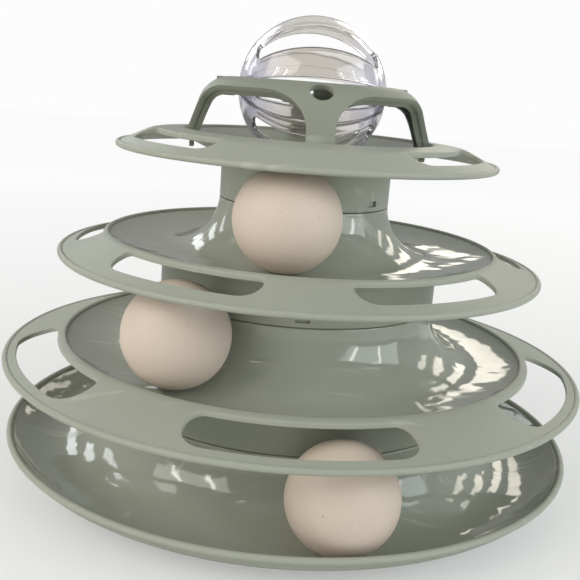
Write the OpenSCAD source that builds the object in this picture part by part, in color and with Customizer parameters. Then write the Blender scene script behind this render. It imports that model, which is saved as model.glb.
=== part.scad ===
// Cat ball track toy: a dish, two stacked track tiers and a top disc with a crown
// that carries a clear ball. All sizes are in millimetres, +Z is up, and the origin
// is on the table under the middle of the tower.

/* [Track balls] */
// Diameter of a track ball
ball_d = 41; // [39:0.5:42]
// Free play between a track ball and the round of its track
ball_play = 1.5; // [1:0.1:2]
// Gap under a resting ball
ball_seat_gap = 0.3; // [0.2:0.05:0.5]
// Place of the low ball round the tower, in degrees
low_ball_az = -82.6; // [-120:1:-40]
// Place of the middle ball round the tower, in degrees
middle_ball_az = -126.6; // [-150:1:-90]
// Place of the high ball round the tower, in degrees
high_ball_az = -100.4; // [-130:1:-60]

/* [Green mouldings] */
// Wall of the mouldings
wall = 2.2; // [2:0.1:2.6]
// Radius of the rolled bead round each rim, as a share of the wall
bead_wall_share = 0.6; // [0.58:0.01:1]
// Radius of the small lip round the mouth of a track
lip_r = 1.2; // [1:0.1:1.5]
// Fillet where a skirt meets the moulding that it hangs from
skirt_fillet = 4; // [3:0.5:5]

/* [Dish] */
// Radius of the neck on the dish's hub
dish_neck_r = 78; // [75:0.5:80]
// Width of the dish from its neck to its rim
dish_track_w = 45.3; // [43:0.1:48]
// Height of the dish's track floor above the table
dish_floor_z = 6.2; // [6:0.1:8]
// Rise of the rim's lower edge over the track floor
dish_rim_rise = 8.4; // [7:0.1:11]
// Rise of the neck's shoulder over the middle of the track's round
dish_neck_rise = 3.7; // [1:0.1:5]

/* [Lower tier] */
// Gap between the low ball and the lower tier over it
lower_head_gap = 2.7; // [1:0.1:4]
// Radius of the neck on the lower tier's hub
lower_neck_r = 60; // [58:0.5:62]
// Width of the lower track from its neck to its mouth
lower_track_w = 39; // [36:0.5:41]
// Width of the lower flange from the mouth to the rim
lower_flange_w = 26; // [24:0.5:29]
// Rise of the mouth over the track floor
lower_mouth_rise = 4.5; // [3.5:0.1:6]
// Drop of the rim's lower edge under the mouth
lower_rim_drop = 10; // [8:0.1:12]
// Rise of the neck's shoulder over the middle of the track's round
lower_neck_rise = 1.8; // [1:0.1:5]
// Distance of the flange slots from the mouth
lower_slot_inset = 3.9; // [3:0.1:7]
// Distance of the flange slots from the rim
lower_slot_margin = 5.6; // [4.5:0.1:9]
// Angle that one flange slot spans
lower_slot_deg = 41.5; // [34:0.5:46]

/* [Middle tier] */
// Height by which the middle ball nests beside the middle tier's round
middle_nest = -0.5; // [-4:0.1:1]
// Radius of the neck on the middle tier's hub
middle_neck_r = 36.5; // [35:0.5:38]
// Width of the middle track from its neck to its mouth
middle_track_w = 45.7; // [43:0.1:47]
// Width of the middle flange from the mouth to the rim
middle_flange_w = 21.3; // [20:0.1:25]
// Rise of the mouth over the track floor
middle_mouth_rise = 5; // [4:0.1:7]
// Drop of the rim's lower edge under the mouth
middle_rim_drop = 10; // [8:0.1:12]
// Rise of the neck's shoulder over the middle of the track's round
middle_neck_rise = -1.2; // [-3:0.1:3]
// Distance of the flange slots from the mouth
middle_slot_inset = 2.8; // [2.6:0.1:6]
// Distance of the flange slots from the rim
middle_slot_margin = 7.3; // [5.5:0.1:9]
// Angle that one flange slot spans
middle_slot_deg = 41; // [32:1:44]

/* [Top disc] */
// Rise of the top rim's lower edge over a ball on the middle track floor
top_rim_lift = -1.1; // [-2:0.1:3]
// Width of the top disc from the bowl's mouth to the rim
top_flange_w = 28.7; // [25:0.1:32]
// Width of the cone from its shoulder to the rim
top_cone_w = 14.3; // [12:0.1:16]
// Rise of the shoulder over the rim's lower edge
top_shoulder_rise = 8; // [6:0.1:9]
// Rise of the bowl's mouth over the rim's lower edge
bowl_mouth_rise = 9.1; // [8.5:0.1:10]
// Gap between the bowl's floor and the clear ball
bowl_gap = 0.8; // [0.6:0.1:3]
// Reach of the top slots past the shoulder, inwards
top_slot_reach = 3; // [0.5:0.5:4]
// Distance of the top slots from the rim
top_slot_margin = 7.1; // [4.5:0.1:8]
// Angle that one top slot spans
top_slot_deg = 47; // [36:1:50]

/* [Twist locks] */
// Height of the spigot on each neck
spigot_h = 8; // [7:0.5:9]
// Wall of the spigot
spigot_wall = 2; // [1.6:0.1:2.4]
// Gap between a spigot and its skirt, and round each lug
lock_gap = 0.25; // [0.2:0.05:0.4]
// Gap at the visible seam between a skirt and its shoulder
seam_gap = 0.3; // [0.2:0.05:0.5]
// Width of a lug
lug_w = 6; // [5:0.5:8]
// Height of a lug
lug_h = 2.4; // [2:0.1:3]
// Reach of a lug out of its spigot
lug_reach = 1.1; // [0.9:0.05:1.2]
// Height of a lug's lower face over the shoulder
lug_rise = 2.2; // [2:0.1:3.5]
// Turn that opens a lock, in degrees
lock_turn = 15; // [10:1:20]
// Width of the sight window in front of a lug
window_w = 5.6; // [2:0.2:6]

/* [Feet] */
// Radius of a rubber foot pad
pad_r = 6.5; // [5:0.5:8]
// Height of the pads' seats above the table
pad_seat_z = 2.2; // [1.8:0.1:2.6]
// Depth of the recess that holds a pad
pad_recess = 0.8; // [0.6:0.1:1]
// Wall round a pad's recess
pad_rim = 1.6; // [1.2:0.1:2]
// Number of foot pads
pad_count = 6; // [3:1:8]
// Distance of the pads' middles from the middle of the track over them, inwards
pad_inset = 8; // [0:0.5:10]

/* [Crown] */
// Rise of the crown's top over the bowl's mouth
crown_rise = 21.9; // [21:0.1:24]
// Flare of the crown from its ring to the legs at the bowl's mouth
crown_flare = 18.9; // [18:0.1:20]
// Inset of the legs from the bowl's mouth
leg_inset = 0.8; // [0.5:0.1:1.5]
// Lean of the legs, in degrees
crown_lean = 18.7; // [15:0.1:20]
// Outer radius of the crown's rounded shoulder
crown_round = 13.9; // [12:0.1:15]
// Wall of the crown
crown_wall = 2.4; // [2:0.1:2.8]
// Depth of the stiffening border inside the crown
crown_border = 5; // [4:0.1:6]
// Width of the stiffening border's rib
border_w = 1.8; // [1.4:0.1:2.2]
// Width of a leg
leg_w = 11; // [9:0.5:13]
// Drop of the arches' tops under the crown's top
arch_drop = 3.8; // [3.4:0.1:5]
// Half width of an arch's rounded corner
arch_corner_w = 16; // [12:0.5:17]
// Height of an arch's rounded corner
arch_corner_h = 14; // [11:0.5:15]
// Radius of the toy hole in the front and back legs
toy_hole_r = 4.6; // [4:0.1:5]
// Tilt of the toy hole over the horizontal, in degrees
toy_hole_tilt = 51; // [48:1:54]
// Width of the tab under each leg
tab_w = 6; // [5:0.5:7]
// Thickness of the tab
tab_t = 1.8; // [1.4:0.1:2]
// Length of the tab under the bowl's wall
tab_reach = 2; // [1.5:0.1:3]
// Gap round each tab and under each leg
tab_gap = 0.15; // [0.1:0.05:0.2]

/* [Clear ball] */
// Outer radius of the clear ball
clear_r = 31.1; // [30:0.1:31.3]
// Wall of the clear ball
clear_wall = 1.6; // [1.4:0.1:2]
// Gap between the clear ball and the crown's ring
clear_gap = 1.5; // [1:0.1:2]
// Drop of the ball's axle under the crown's top
axle_drop = 4; // [3.9:0.05:4.2]
// Turn of the resting ball about its axle, in degrees
clear_turn = 22.5; // [0:0.5:45]
// Number of slots in each half of the ball
clear_slots = 4; // [2:1:5]
// Angle that one slot spans round the axle, in degrees
clear_slot_deg = 22; // [16:1:28]
// Half length of a slot along the axle
clear_slot_x = 24.8; // [20:0.2:25]
// Radius of the pivot pins
pin_r = 2.2; // [2:0.05:2.3]
// Running gap of a pin in the crown
pin_gap = 0.05; // [0.02:0.01:0.08]
// Reach of a pin into the crown's boss
pin_reach = 5.4; // [4.5:0.1:5.6]
// Radius of the head on the pin's inner end
pin_head_r = 3.6; // [3:0.1:4]
// Thickness of that head
pin_head_t = 1.2; // [1:0.1:1.6]
// Radius of the hub that holds a pin in the ball
hub_r = 5; // [4.5:0.1:6]
// Length of that hub
hub_len = 6; // [5:0.2:7]
// Radius of the boss that holds a pin in the crown
boss_r = 3.8; // [3.6:0.05:3.85]

/* [Hidden] */

// Flange slots, by the directions of their middles in degrees
lower_slot_az = [-157.2, -92.2, -26.7, 50, 126];
middle_slot_az = [-190, -122.9, -61.7, 6.5, 87.2];
top_slot_az = [-147, -38, 87.5];
// Corner radii of the slots, inner and outer, as shares of the slots' width
lower_corner_shares = [0.3125, 0.5625];
middle_corner_shares = [0.2, 0.716];
top_corner_shares = [0.147, 0.632];
// Directions of the lugs
dish_lug_az = [-40, 140];
lower_lug_az = [-92, 88];
middle_lug_az = [-45, 135];
leg_az = [0, 90, 180, 270];

// Overrun of a cut, least spacing of outline points, and slack of half shells
overrun = 1;
point_gap = 0.4;
split_gap = 0.02;
// Radius of the rim bead, and the angles on it where a flange and the dish's wall join it
bead_r = wall * bead_wall_share;
bead_join = 130;
dish_bead_join = -60;
// Angle on the hub where it thickens
hub_join = 70;
lip_join = 100;
arc_steps = 14;
bead_steps = 12;
corner_steps = 6;

green = [0.62, 0.66, 0.59];
ball_colour = [0.84, 0.76, 0.71];
clear_colour = [0.82, 0.80, 0.90, 0.4];
rubber = [0.35, 0.36, 0.35];

track_round = ball_d / 2 + ball_play;
lower_floor_z = dish_floor_z + ball_seat_gap + ball_d + lower_head_gap + wall;
middle_floor_z = lower_floor_z + ball_seat_gap + ball_d - middle_nest + wall;
dish_rim_r = dish_neck_r + dish_track_w;
lower_mouth_r = lower_neck_r + lower_track_w;
lower_rim_r = lower_mouth_r + lower_flange_w;
middle_mouth_r = middle_neck_r + middle_track_w;
middle_rim_r = middle_mouth_r + middle_flange_w;
ring_r = clear_r + clear_gap;
crown_leg_r = ring_r + crown_flare;
bowl_mouth_r = crown_leg_r + leg_inset;
top_rim_r = bowl_mouth_r + top_flange_w;
top_shoulder_r = top_rim_r - top_cone_w;
dish_rim_z = dish_floor_z + dish_rim_rise;
lower_mouth_z = lower_floor_z + lower_mouth_rise;
middle_mouth_z = middle_floor_z + middle_mouth_rise;
dish_seam_z = dish_floor_z + track_round + dish_neck_rise;
lower_seam_z = lower_floor_z + track_round + lower_neck_rise;
middle_seam_z = middle_floor_z + track_round + middle_neck_rise;
top_rim_z = middle_floor_z + ball_d + top_rim_lift;
bowl_mouth_z = top_rim_z + bowl_mouth_rise;
crown_top_z = bowl_mouth_z + crown_rise;
axle_z = crown_top_z - axle_drop;
bowl_floor_z = axle_z - clear_r - bowl_gap;
bowl_depth = bowl_mouth_z - bowl_floor_z;
bowl_round = climb(bowl_mouth_r, bowl_depth - lip_r);
bowl_middle = [0, bowl_floor_z + bowl_round];
bowl_turn = asin(bowl_mouth_r / bowl_round);

// Points of an arc about c, from one angle to the other, with or without its first point
function arc(c, r, a0, a1, n = arc_steps) =
    [for (i = [0 : n]) let (a = a0 + (a1 - a0) * i / n) c + r * [cos(a), sin(a)]];
function arc_on(c, r, a0, a1, n = arc_steps) =
    [for (i = [1 : n]) let (a = a0 + (a1 - a0) * i / n) c + r * [cos(a), sin(a)]];
// Radius of the arc that leaves a level floor and climbs h over the width w
function climb(w, h) = (w * w + h * h) / (2 * h);
// Height of such an arc over its floor at the width w
function climb_z(r, w) = r - sqrt(r * r - w * w);
function degrees_of(length, r) = length / r * 180 / PI;

// Rolled bead on a rim: its centre and the angle where the flange's underside leaves it
function bead_centre(rim_r, rim_z) = [rim_r - bead_r, rim_z + bead_r];
function bead_under() = 180 - asin(sin(bead_join) - wall / bead_r);
function bead_points(rim_r, rim_z) =
    arc(bead_centre(rim_r, rim_z), bead_r, bead_under() - 360, bead_join, bead_steps);

// Round of a track beside its neck, and the top of the hub over it: shoulder and spigot.
// Where the shoulder lies under the middle of the round, the round ends there.
function neck_points(neck_r, seam_z, floor_z) =
    let (c = [neck_r + track_round, floor_z + track_round], rise = seam_z - c[1],
         out_r = neck_r - wall - lock_gap, in_r = out_r - spigot_wall, top = seam_z + spigot_h)
    concat(arc_on(c, track_round, -90, -180 + asin(max(-rise, 0) / track_round)),
           rise > 0 ? [[neck_r, seam_z]] : [],
           [[out_r, seam_z], [out_r, top - lip_r / 2], [out_r - lip_r / 2, top], [in_r, top]]);

// Underside of a hub and its track, from the spigot out to the mouth
function under_points(neck_r, seam_z, floor_z, out_round, out_end) =
    let (track_r = neck_r + track_round,
         in_c = [track_r, floor_z + track_round],
         join = in_c - (track_round + wall) * [sin(hub_join), cos(hub_join)],
         in_r = neck_r - wall - lock_gap - spigot_wall)
    concat([[in_r, join[1] + join[0] - in_r]],
           arc(in_c, track_round + wall, -90 - hub_join, -90),
           arc_on([track_r, floor_z + out_round], out_round + wall, -90, out_end));

// Height of that underside at the radius r
function under_z(r, track_r, floor_z, out_round) =
    floor_z - wall + (r < track_r ? climb_z(track_round + wall, track_r - r)
                                  : climb_z(out_round + wall, r - track_r));

// The same underside with a skirt hung from it
function skirted(points, skirt_r, skirt_z, in_top, out_top) =
    let (far_r = skirt_r + skirt_fillet)
    concat([for (p = points) if (p[0] < skirt_r - wall - point_gap) p],
           [[skirt_r - wall, in_top], [skirt_r - wall, skirt_z], [skirt_r, skirt_z]],
           arc([far_r, out_top - skirt_fillet], skirt_fillet, 180, 90, corner_steps),
           [for (p = points) if (p[0] > far_r + point_gap) p]);

// Outline of a slot that follows the rim: a rounded bar bent round the tower
function slot_points(in_r, out_r, span, shares) =
    let (mid_r = (in_r + out_r) / 2, half = mid_r * span * PI / 360,
         ci = shares[0] * (out_r - in_r), co = shares[1] * (out_r - in_r),
         bar = concat(
             [for (i = [0 : arc_steps]) [in_r, (half - ci) * (2 * i / arc_steps - 1)]],
             arc_on([in_r + ci, half - ci], ci, 180, 90, corner_steps),
             arc([out_r - co, half - co], co, 90, 0, corner_steps),
             [for (i = [1 : arc_steps]) [out_r, (half - co) * (1 - 2 * i / arc_steps)]],
             arc_on([out_r - co, co - half], co, 0, -90, corner_steps),
             arc([in_r + ci, ci - half], ci, -90, -180 + 90 / corner_steps, corner_steps - 1)))
    [for (p = bar) p[0] * [cos(degrees_of(p[1], mid_r)), sin(degrees_of(p[1], mid_r))]];

module slots(places, in_r, out_r, span, shares, z, h) {
    for (a = places) translate([0, 0, z]) rotate(a)
        linear_extrude(height = h) polygon(slot_points(in_r, out_r, span, shares));
}

module ring_piece(az, span, in_r, out_r, z, h) {
    rotate(az) rotate_extrude(angle = span, $fn = 180)
        translate([in_r, z]) square([out_r - in_r, h]);
}

// Lugs on a spigot
module lugs(places, neck_r, seam_z) {
    out_r = neck_r - wall - lock_gap;
    span = degrees_of(lug_w, out_r);
    for (a = places)
        ring_piece(a - span / 2, span, out_r - spigot_wall / 2, out_r + lug_reach,
                   seam_z + lug_rise, lug_h);
}

// Grooves and sight windows in a skirt, open downwards at the end of the turn
module lock_cuts(places, skirt_r, seam_z) {
    in_r = skirt_r - wall - overrun;
    groove_r = skirt_r - wall + lug_reach;
    span = degrees_of(lug_w + 2 * lock_gap, skirt_r - wall);
    window = degrees_of(window_w, skirt_r);
    for (a = places) {
        ring_piece(a - span / 2 - lock_turn, span + lock_turn, in_r, groove_r,
                   seam_z + lug_rise - lock_gap, lug_h + 2 * lock_gap);
        ring_piece(a - span / 2 - lock_turn, span, in_r, groove_r,
                   seam_z - overrun, overrun + lug_rise + lug_h / 2);
        ring_piece(a - window / 2, window, in_r, skirt_r + overrun,
                   seam_z + lug_rise, lug_h);
    }
}

// Outline of a track tier: bead, flange, lip, track, hub, neck and the skirt underneath
function tier_points(rim_r, rim_z, mouth_r, mouth_z, floor_z, neck_r, seam_z, skirt_r, skirt_z) =
    let (track_r = neck_r + track_round,
         bead = bead_points(rim_r, rim_z), join = bead[bead_steps],
         w = mouth_r - track_r, out_round = climb(w, mouth_z - lip_r - floor_z),
         lip_c = [mouth_r + lip_r, mouth_z - lip_r],
         lip = arc(lip_c, lip_r, lip_join, 180, corner_steps),
         out_end = -90 + asin(w / (out_round + wall)),
         under = under_points(neck_r, seam_z, floor_z, out_round, out_end),
         slope = (lip[0][1] - join[1]) / (join[0] - lip[0][0]))
    concat(bead, lip,
           arc_on([track_r, floor_z + out_round], out_round, -90 + asin(w / out_round), -90),
           neck_points(neck_r, seam_z, floor_z),
           skirted(under, skirt_r, skirt_z,
                   under_z(skirt_r - wall, track_r, floor_z, out_round),
                   under_z(skirt_r + skirt_fillet, track_r, floor_z, out_round)),
           [[mouth_r + 2 * lip_r, lip[0][1] - lip_r * slope - wall]]);

module base_dish() {
    track_r = dish_neck_r + track_round;
    bead_c = bead_centre(dish_rim_r, dish_rim_z);
    w = bead_c[0] - bead_r - track_r;
    out_round = climb(w, bead_c[1] - dish_floor_z);
    turn = asin(w / out_round);
    middle = [track_r, dish_floor_z + out_round];
    in_c = [track_r, dish_floor_z + track_round];
    color(green) difference() {
        union() {
            rotate_extrude($fn = 180) polygon(concat(
                arc(bead_c, bead_r, dish_bead_join, 180, bead_steps),
                arc_on(middle, out_round, -90 + turn, -90),
                neck_points(dish_neck_r, dish_seam_z, dish_floor_z),
                under_points(dish_neck_r, dish_seam_z, dish_floor_z, out_round, -90 + turn)));
            lugs(dish_lug_az, dish_neck_r, dish_seam_z);
            for (i = [0 : pad_count - 1]) pad_boss(i, middle, out_round, in_c);
        }
        for (i = [0 : pad_count - 1]) at_pad(i) translate([0, 0, pad_seat_z - overrun])
            cylinder(r = pad_r + tab_gap, h = overrun + pad_recess, $fn = 48);
    }
}

module at_pad(i) {
    rotate(i * 360 / pad_count) translate([dish_neck_r + track_round - pad_inset, 0, 0])
        children();
}

// Round seat of a pad, closed above by the underside of the track
module pad_boss(i, middle, out_round, in_c) {
    seat_r = pad_r + tab_gap + pad_rim;
    in_reach = seat_r + overrun + pad_inset;
    out_reach = seat_r + overrun;
    intersection() {
        at_pad(i) cylinder(r = seat_r, h = in_c[1], $fn = 48);
        rotate_extrude($fn = 180) polygon(concat(
            [[in_c[0] + out_reach, pad_seat_z], [in_c[0] - in_reach, pad_seat_z]],
            arc(in_c, track_round + wall / 2, -90 - asin(in_reach / (track_round + wall / 2)), -90),
            arc_on(middle, out_round + wall / 2, -90, -90 + asin(out_reach / out_round))));
    }
}

module foot_pads() {
    top = pad_seat_z + pad_recess - tab_gap / 2;
    edge = pad_recess / 2;
    color(rubber) for (i = [0 : pad_count - 1]) at_pad(i) rotate_extrude($fn = 48)
        polygon([[0, 0], [pad_r - edge, 0], [pad_r, edge], [pad_r, top], [0, top]]);
}

module lower_tier() {
    rim_z = lower_mouth_z - lower_rim_drop;
    color(green) difference() {
        union() {
            rotate_extrude($fn = 180) polygon(tier_points(
                lower_rim_r, rim_z, lower_mouth_r, lower_mouth_z, lower_floor_z, lower_neck_r,
                lower_seam_z, dish_neck_r, dish_seam_z + seam_gap));
            lugs(lower_lug_az, lower_neck_r, lower_seam_z);
        }
        slots(lower_slot_az, lower_mouth_r + lower_slot_inset, lower_rim_r - lower_slot_margin,
              lower_slot_deg, lower_corner_shares, rim_z, lower_rim_drop + overrun);
        lock_cuts(dish_lug_az, dish_neck_r, dish_seam_z);
    }
}

module middle_tier() {
    rim_z = middle_mouth_z - middle_rim_drop;
    color(green) difference() {
        union() {
            rotate_extrude($fn = 180) polygon(tier_points(
                middle_rim_r, rim_z, middle_mouth_r, middle_mouth_z, middle_floor_z,
                middle_neck_r, middle_seam_z, lower_neck_r, lower_seam_z + seam_gap));
            lugs(middle_lug_az, middle_neck_r, middle_seam_z);
        }
        slots(middle_slot_az, middle_mouth_r + middle_slot_inset,
              middle_rim_r - middle_slot_margin, middle_slot_deg, middle_corner_shares,
              rim_z, middle_rim_drop + overrun);
        lock_cuts(lower_lug_az, lower_neck_r, lower_seam_z);
    }
}

module top_disc() {
    bead = bead_points(top_rim_r, top_rim_z);
    shoulder = [top_shoulder_r, top_rim_z + top_shoulder_rise];
    lip = arc([bowl_mouth_r + lip_r, bowl_mouth_z - lip_r], lip_r, lip_join, 180, corner_steps);
    under = arc(bowl_middle, bowl_round + wall, -90, -90 + bowl_turn);
    skirt_z = middle_seam_z + seam_gap;
    color(green) difference() {
        rotate_extrude($fn = 180) polygon(concat(
            bead, [shoulder], lip,
            arc_on(bowl_middle, bowl_round, -90 + bowl_turn, -90),
            skirted(under, middle_neck_r, skirt_z,
                    bowl_floor_z - wall + climb_z(bowl_round + wall, middle_neck_r - wall),
                    bowl_floor_z - wall
                        + climb_z(bowl_round + wall, middle_neck_r + skirt_fillet)),
            [lip[0] + [lip_r, -wall], shoulder - [wall / 4, wall]]));
        slots(top_slot_az, top_shoulder_r - top_slot_reach, top_rim_r - top_slot_margin,
              top_slot_deg, top_corner_shares, top_rim_z, bowl_mouth_rise + overrun);
        lock_cuts(middle_lug_az, middle_neck_r, middle_seam_z);
        for (a = leg_az) rotate(a) leg_tab(tab_gap);
    }
}

// Tab under the leg that points along -Y, grown by a gap for its socket
module leg_tab(gap) {
    low_z = bowl_floor_z + climb_z(bowl_round, crown_leg_r) - 2 * wall - tab_reach;
    mid_r = crown_leg_r - tab_t;
    translate([-tab_w / 2 - gap, -mid_r - tab_t / 2 - gap, low_z])
        cube([tab_w + 2 * gap, tab_t + 2 * gap, bowl_mouth_z - low_z]);
}

// Outline of the crown's wall, or of its deeper border
function crown_points(depth) =
    let (low_z = bowl_mouth_z - bowl_depth / 2,
         corner_r = crown_leg_r - crown_rise * tan(crown_lean),
         c = [corner_r - crown_round / tan(45 + crown_lean / 2), crown_top_z - crown_round],
         foot = [crown_leg_r + (bowl_mouth_z - low_z) * tan(crown_lean), low_z])
    concat([[ring_r, crown_top_z - depth], [ring_r, crown_top_z]],
           arc(c, crown_round, 90, crown_lean),
           [foot, foot - [depth / cos(crown_lean), 0]],
           arc(c, crown_round - depth, crown_lean, 90));

// Outline of the leg that points along -Y and of the arch corners on its sides,
// drawn in by the width of the border's rib
function leg_points(inset) =
    let (half = leg_w / 2 - inset, top = crown_top_z - arch_drop + inset,
         corner = [leg_w / 2 + arch_corner_w, crown_top_z - arch_drop - arch_corner_h],
         side = [for (i = [0 : arc_steps]) let (a = 180 - 90 * i / arc_steps)
                 [corner[0] + (arch_corner_w + inset) * cos(a),
                  corner[1] + (arch_corner_h + inset) * sin(a)]],
         low = bowl_mouth_z - bowl_depth)
    concat([[half, low]], side, [[corner[0], crown_top_z + overrun]],
           [[-corner[0], crown_top_z + overrun]],
           [for (i = [arc_steps : -1 : 0]) [-side[i][0], side[i][1]]], [[-half, low]]);

module leg_prism() {
    rotate([90, 0, 0]) translate([0, 0, ring_r - crown_wall])
        linear_extrude(height = crown_leg_r) children();
}

module crown_turned(depth) {
    rotate_extrude($fn = 180) polygon(crown_points(depth));
}

module level_slab(z0, z1) {
    translate([0, 0, z0]) cylinder(r = 2 * crown_leg_r, h = z1 - z0, $fn = 64);
}

module crown() {
    arch_top = crown_top_z - arch_drop;
    hole_c = [crown_leg_r - crown_rise * tan(crown_lean)
                  - crown_round / tan(45 + crown_lean / 2), crown_top_z - crown_round];
    color(green) difference() {
        union() {
            difference() {
                union() {
                    intersection() {
                        crown_turned(crown_wall);
                        union() {
                            level_slab(arch_top, crown_top_z + overrun);
                            for (a = leg_az) rotate(a) leg_prism() polygon(leg_points(0));
                        }
                    }
                    intersection() {
                        crown_turned(crown_border);
                        union() {
                            level_slab(arch_top, arch_top + border_w);
                            for (a = leg_az) rotate(a) leg_prism() difference() {
                                polygon(leg_points(0));
                                polygon(leg_points(border_w));
                            }
                        }
                    }
                }
                bowl_seat();
            }
            for (a = leg_az) rotate(a) intersection() {
                leg_tab(0);
                crown_tab_space();
            }
            for (s = [-1, 1]) translate([s * ring_r, 0, axle_z]) rotate([0, s * 90, 0])
                cylinder(r = boss_r, h = pin_reach + crown_wall, $fn = 48);
        }
        for (s = [-1, 1]) translate([s * (ring_r - overrun), 0, axle_z]) rotate([0, s * 90, 0])
            cylinder(r = pin_r + pin_gap, h = overrun + pin_reach + pin_gap, $fn = 48);
        for (a = [90, 270]) rotate(a)
            translate([hole_c[0], 0, hole_c[1]]) rotate([0, 90 - toy_hole_tilt, 0])
                translate([0, 0, crown_round - crown_border])
                    cylinder(r = toy_hole_r, h = crown_border + overrun, $fn = 48);
    }
}

// Everything under the bowl's surface, which the legs stand on
module bowl_seat() {
    rotate_extrude($fn = 180) polygon(concat(
        [[0, bowl_floor_z - bowl_depth]], [[0, bowl_floor_z + tab_gap]],
        arc_on(bowl_middle, bowl_round - tab_gap, -90, -90 + bowl_turn),
        [[bowl_mouth_r + bowl_depth, bowl_mouth_z], [bowl_mouth_r + bowl_depth,
                                                     bowl_floor_z - bowl_depth]]));
}

// Space of the tabs, up to just inside the legs' feet
module crown_tab_space() {
    level_slab(bowl_floor_z - bowl_depth, bowl_mouth_z - lip_r / 2);
}

// Half of the clear ball: side 1 is the upper half, side -1 the lower
module clear_half(side) {
    hub_x = clear_r - clear_wall / 2;
    reach = clear_r / cos(clear_slot_deg / 2) + overrun;
    color(clear_colour) translate([0, 0, axle_z]) rotate([clear_turn, 0, 0]) difference() {
        intersection() {
            union() {
                difference() {
                    sphere(r = clear_r, $fn = 96);
                    sphere(r = clear_r - clear_wall, $fn = 96);
                    for (i = [0 : clear_slots - 1])
                        rotate([side * (i + 0.5) * 180 / clear_slots, 0, 0])
                            slot_wedge(reach);
                }
                for (s = [-1, 1]) translate([s * (hub_x - hub_len), 0, 0])
                    rotate([0, s * 90, 0]) cylinder(r = hub_r, h = hub_len, $fn = 48);
            }
            translate([-2 * clear_r, -2 * clear_r, side > 0 ? split_gap : -2 * clear_r])
                cube([4 * clear_r, 4 * clear_r, 2 * clear_r - split_gap]);
        }
        rotate([0, 90, 0]) cylinder(r = pin_r + split_gap, h = 4 * clear_r, center = true,
                                    $fn = 48);
    }
}

// Wedge that cuts one slot, pointing along +Y from the axle
module slot_wedge(reach) {
    half = clear_slot_deg / 2;
    near = clear_r / 2;
    rotate([90, 0, 90]) translate([0, 0, -clear_slot_x]) linear_extrude(height = 2 * clear_slot_x)
        polygon([near * [cos(half), -sin(half)], reach * [cos(half), -sin(half)],
                 reach * [cos(half), sin(half)], near * [cos(half), sin(half)]]);
}

module clear_shell_upper() { clear_half(1); }
module clear_shell_lower() { clear_half(-1); }

// Pivot pin along +X or -X, with its head inside the ball's hub
module pivot_pin(side) {
    head_x = clear_r - clear_wall / 2 - hub_len - split_gap;
    color(clear_colour) translate([0, 0, axle_z]) rotate([0, side * 90, 0])
        translate([0, 0, head_x - pin_head_t]) union() {
            cylinder(r = pin_head_r, h = pin_head_t, $fn = 48);
            cylinder(r = pin_r, h = ring_r + pin_reach - head_x + pin_head_t, $fn = 48);
        }
}

module pivot_pin_left() { pivot_pin(-1); }
module pivot_pin_right() { pivot_pin(1); }

module track_ball(az, neck_r, floor_z) {
    color(ball_colour) rotate(az)
        translate([neck_r + track_round, 0, floor_z + ball_seat_gap + ball_d / 2])
            sphere(d = ball_d, $fn = 96);
}

module track_ball_low() { track_ball(low_ball_az, dish_neck_r, dish_floor_z); }
module track_ball_middle() { track_ball(middle_ball_az, lower_neck_r, lower_floor_z); }
module track_ball_high() { track_ball(high_ball_az, middle_neck_r, middle_floor_z); }

base_dish();
foot_pads();
lower_tier();
middle_tier();
top_disc();
crown();
clear_shell_upper();
clear_shell_lower();
pivot_pin_left();
pivot_pin_right();
track_ball_low();
track_ball_middle();
track_ball_high();
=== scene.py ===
# %% [markdown]
# # A cat ball track toy
# The toy is a tower of four green mouldings that lock into each other: a dish, two
# tiers and a top disc. A ball is held in each of the three tracks between them, and
# a crown on the top disc carries a slotted clear ball on a level axle.
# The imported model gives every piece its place, so this file starts from it and then
# gives each piece a finer mesh and a finish.

# %% Load the frame
from math import acos, asin, cos, degrees, dist, hypot, pi, radians, sin, sqrt, tan
from types import SimpleNamespace as Sizes

import bmesh
import bpy
from mathutils import Matrix, Vector
from mathutils.geometry import delaunay_2d_cdt


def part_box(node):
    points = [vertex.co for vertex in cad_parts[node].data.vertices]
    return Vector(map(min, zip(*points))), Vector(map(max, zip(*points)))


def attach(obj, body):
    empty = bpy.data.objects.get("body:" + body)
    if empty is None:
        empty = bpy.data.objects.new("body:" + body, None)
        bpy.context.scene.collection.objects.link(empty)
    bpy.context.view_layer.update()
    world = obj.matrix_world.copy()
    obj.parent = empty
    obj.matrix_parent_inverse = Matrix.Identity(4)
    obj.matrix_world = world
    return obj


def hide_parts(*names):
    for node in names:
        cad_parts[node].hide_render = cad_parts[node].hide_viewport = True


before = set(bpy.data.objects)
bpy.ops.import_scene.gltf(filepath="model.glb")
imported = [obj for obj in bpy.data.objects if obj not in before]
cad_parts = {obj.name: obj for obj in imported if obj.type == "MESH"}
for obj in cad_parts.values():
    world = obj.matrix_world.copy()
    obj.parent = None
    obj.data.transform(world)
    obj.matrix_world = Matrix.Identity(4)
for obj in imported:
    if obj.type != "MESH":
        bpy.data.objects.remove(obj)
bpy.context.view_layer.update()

# %% [markdown]
# ## Sizes
# The mouldings are drawn in millimetres, because their walls and lips are small
# numbers there. The first values are shared by all, and each moulding has a table.

# %% Sizes of the mouldings
MM = 0.001
WALL = 2.2
BEAD = 1.32
LIP = 1.2
TRACK = 22.0
SPIGOT = 8.0
SPIGOT_WALL = 2.0
LOCK_GAP = 0.25
SEAM_GAP = 0.3
SKIRT_FILLET = 4.0
LUG = Sizes(width=6.0, height=2.4, reach=1.1, rise=2.2)
WINDOW = 5.6
EDGE = 0.45
HUB_EDGE, SKIRT_EDGE = 0.5, 0.4
LIP_ARC = (100, 180, 8)
STEPS, SMALL_STEPS = 240, 48
AXIS = 0.01

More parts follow.
